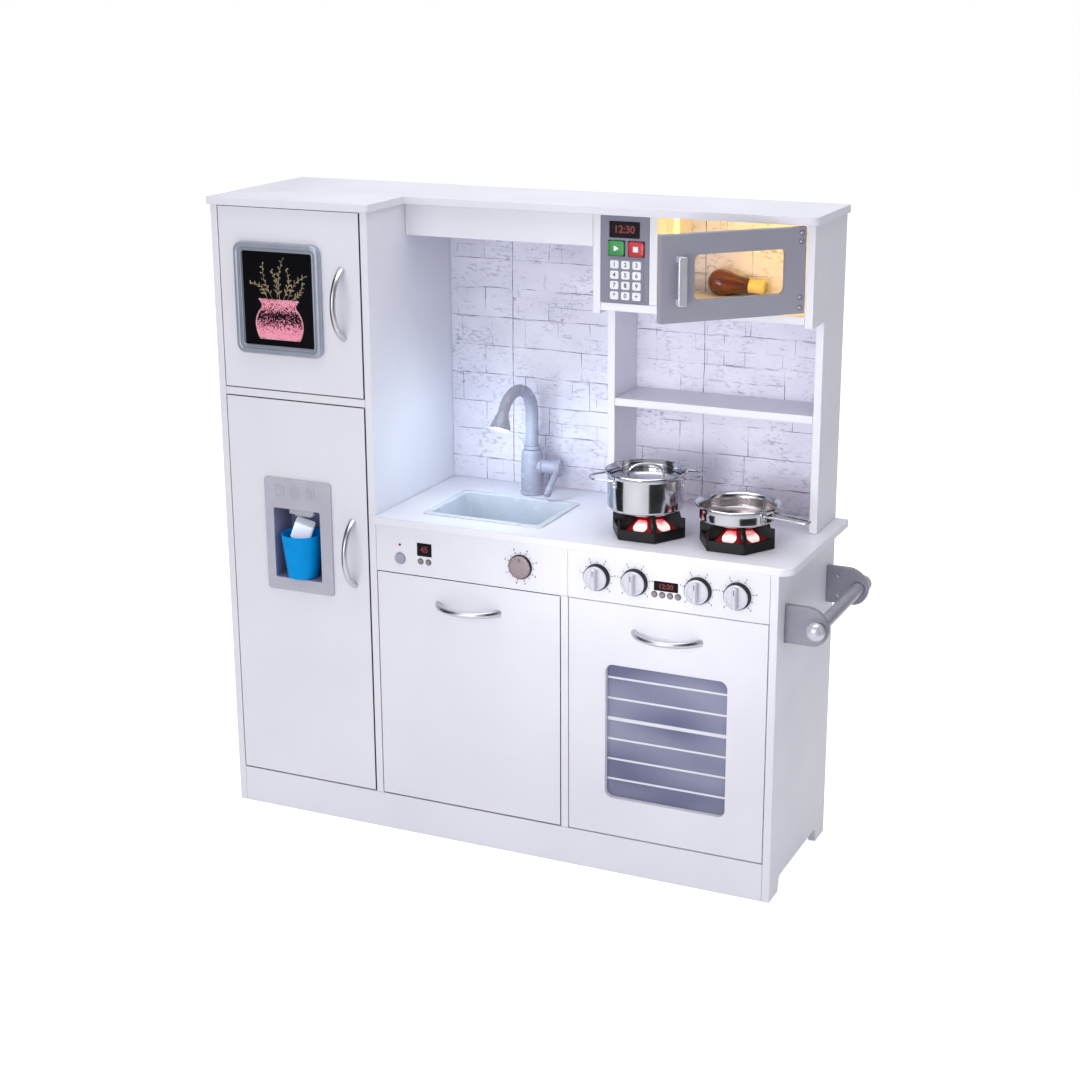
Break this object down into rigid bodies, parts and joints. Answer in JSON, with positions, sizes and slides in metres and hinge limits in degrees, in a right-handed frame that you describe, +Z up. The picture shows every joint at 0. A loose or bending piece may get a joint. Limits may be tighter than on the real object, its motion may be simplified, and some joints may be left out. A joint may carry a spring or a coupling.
{
  "type": "toy kitchen",
  "caption": "Children's play kitchen of white boards with a fridge and freezer, dishwasher, oven, sink with faucet, hob, microwave, shelves and towel rail; doors, knobs and buttons move.",
  "frame": {"origin": "middle of the whole object's footprint, on the floor it stands on", "axes": "+Z up, +Y from the door fronts to the back panels, +X from the fridge to the oven and towel rail"},
  "size_m": [0.995, 0.3196, 1],
  "materials": {
    "white_board": "satin white paint on board",
    "stone_print": "matte print of pale stone on thin board",
    "grey_board": "satin grey paint on board",
    "silver_plastic": "silver-grey moulded plastic, satin",
    "frame_plastic": "grey-blue moulded plastic, satin",
    "dispenser_plastic": "light grey moulded plastic, satin",
    "black_plastic": "black moulded plastic, satin",
    "steel": "thin stainless steel, polished",
    "window_pane": "clear acrylic, slightly smoky",
    "start_green": "green moulded plastic",
    "stop_red": "red moulded plastic",
    "key_white": "white moulded plastic",
    "cup_blue": "bright blue moulded plastic",
    "roast_brown": "glossy brown moulded plastic"
  },
  "bodies": {
    "cabinet": {"left_side_panel": "white_board", "fridge_partition": "white_board", "base_divider": "white_board", "base_right_panel": "white_board", "plinth": "white_board", "fridge_floor": "white_board", "base_floor": "white_board", "freezer_shelf": "white_board", "oven_shelf": "white_board", "fridge_back": "white_board", "base_back": "white_board", "hutch_backsplash": "stone_print", "dishwasher_fascia": "white_board", "oven_fascia": "white_board", "countertop": "white_board", "hutch_divider": "white_board", "hutch_right_panel": "white_board", "header_board": "white_board", "hutch_shelf": "white_board", "microwave_floor": "white_board", "microwave_partition": "white_board", "top_board": "white_board", "microwave_control_panel": "grey_board", "microwave_keypad": "key_white", "sink_basin": "steel", "faucet_body": "silver_plastic", "burner_left": "black_plastic", "burner_right": "black_plastic", "towel_bracket_front": "grey_board", "towel_bracket_rear": "grey_board", "towel_rod": "silver_plastic"},
    "freezer_door": {"freezer_door": "white_board", "chalkboard": "frame_plastic", "freezer_handle": "steel"},
    "fridge_door": {"fridge_door": "white_board", "dispenser_housing": "dispenser_plastic", "fridge_handle": "steel"},
    "cup": {"cup": "cup_blue"},
    "dishwasher_door": {"dishwasher_door": "white_board", "dishwasher_handle": "steel"},
    "oven_door": {"oven_door": "white_board", "oven_window": "window_pane", "oven_handle": "steel"},
    "microwave_door": {"microwave_door": "grey_board", "microwave_window": "window_pane", "microwave_handle": "silver_plastic"},
    "faucet_spout": {"faucet_spout": "silver_plastic"},
    "faucet_lever": {"faucet_lever": "silver_plastic"},
    "oven_knob_1": {"oven_knob_1": "silver_plastic"},
    "oven_knob_2": {"oven_knob_2": "silver_plastic"},
    "oven_knob_3": {"oven_knob_3": "silver_plastic"},
    "oven_knob_4": {"oven_knob_4": "silver_plastic"},
    "dishwasher_dial": {"dishwasher_dial": "silver_plastic"},
    "dishwasher_start_button": {"dishwasher_start_button": "key_white"},
    "microwave_start_button": {"microwave_start_button": "start_green"},
    "microwave_stop_button": {"microwave_stop_button": "stop_red"},
    "pot": {"pot": "steel"},
    "pot_lid": {"pot_lid": "steel"},
    "pan": {"pan": "steel"},
    "drumstick": {"drumstick": "roast_brown"}
  },
  "joints": [
    {"name": "freezer_door_hinge", "type": "hinge", "parent": "cabinet", "child": "freezer_door", "pos_m": [-0.4793, -0.11825, 0.84625], "axis": [0, 0, -1], "range_deg": [0, 105]},
    {"name": "fridge_door_hinge", "type": "hinge", "parent": "cabinet", "child": "fridge_door", "pos_m": [-0.4793, -0.11825, 0.3765], "axis": [0, 0, -1], "range_deg": [0, 105]},
    {"name": "cup_slide", "type": "slide", "parent": "fridge_door", "child": "cup", "axis": [0, -1, 0], "range_m": [0, 0.08]},
    {"name": "dishwasher_door_hinge", "type": "hinge", "parent": "cabinet", "child": "dishwasher_door", "pos_m": [-0.062, -0.11825, 0.062], "axis": [1, 0, 0], "range_deg": [0, 90]},
    {"name": "oven_door_hinge", "type": "hinge", "parent": "cabinet", "child": "oven_door", "pos_m": [0.2635, -0.11825, 0.062], "axis": [1, 0, 0], "range_deg": [0, 90]},
    {"name": "microwave_door_hinge", "type": "hinge", "parent": "cabinet", "child": "microwave_door", "pos_m": [0.42, 0.00035, 0.9247], "axis": [0, 0, 1], "range_deg": [-45.7, 60]},
    {"name": "faucet_spout_swivel", "type": "hinge", "parent": "cabinet", "child": "faucet_spout", "pos_m": [-0.0515, 0.09735, 0.6], "axis": [0, 0, 1], "range_deg": [-54, 66]},
    {"name": "faucet_lever_tilt", "type": "hinge", "parent": "cabinet", "child": "faucet_lever", "pos_m": [-0.0062, 0.09735, 0.5698], "axis": [-1, 0, 0], "range_deg": [0, 75]},
    {"name": "oven_knob_1_turn", "type": "hinge", "parent": "cabinet", "child": "oven_knob_1", "pos_m": [0.1539, -0.11825, 0.473], "axis": [0, -1, 0], "range_deg": [-135, 135]},
    {"name": "oven_knob_2_turn", "type": "hinge", "parent": "cabinet", "child": "oven_knob_2", "pos_m": [0.2137, -0.11825, 0.473], "axis": [0, -1, 0], "range_deg": [-135, 135]},
    {"name": "oven_knob_3_turn", "type": "hinge", "parent": "cabinet", "child": "oven_knob_3", "pos_m": [0.3123, -0.11825, 0.473], "axis": [0, -1, 0], "range_deg": [-135, 135]},
    {"name": "oven_knob_4_turn", "type": "hinge", "parent": "cabinet", "child": "oven_knob_4", "pos_m": [0.3721, -0.11825, 0.473], "axis": [0, -1, 0], "range_deg": [-135, 135]},
    {"name": "dishwasher_dial_turn", "type": "hinge", "parent": "cabinet", "child": "dishwasher_dial", "pos_m": [0.029, -0.11825, 0.4727], "axis": [0, -1, 0], "range_deg": [-135, 135]},
    {"name": "dishwasher_start_push", "type": "slide", "parent": "cabinet", "child": "dishwasher_start_button", "axis": [0, 1, 0], "range_m": [0, 0.002], "stiffness_N_per_m": 200},
    {"name": "microwave_start_push", "type": "slide", "parent": "cabinet", "child": "microwave_start_button", "axis": [0, 1, 0], "range_m": [0, 0.002], "stiffness_N_per_m": 200},
    {"name": "microwave_stop_push", "type": "slide", "parent": "cabinet", "child": "microwave_stop_button", "axis": [0, 1, 0], "range_m": [0, 0.002], "stiffness_N_per_m": 200},
    {"name": "pot_lift", "type": "slide", "parent": "cabinet", "child": "pot", "axis": [0, 0, 1], "range_m": [0, 0.08]},
    {"name": "pot_lid_lift", "type": "slide", "parent": "pot", "child": "pot_lid", "axis": [0, 0, 1], "range_m": [0, 0.08]},
    {"name": "pan_lift", "type": "slide", "parent": "cabinet", "child": "pan", "axis": [0, 0, 1], "range_m": [0, 0.08]},
    {"name": "drumstick_lift", "type": "slide", "parent": "cabinet", "child": "drumstick", "axis": [0, 0, 1], "range_m": [0, 0.05]}
  ]
}
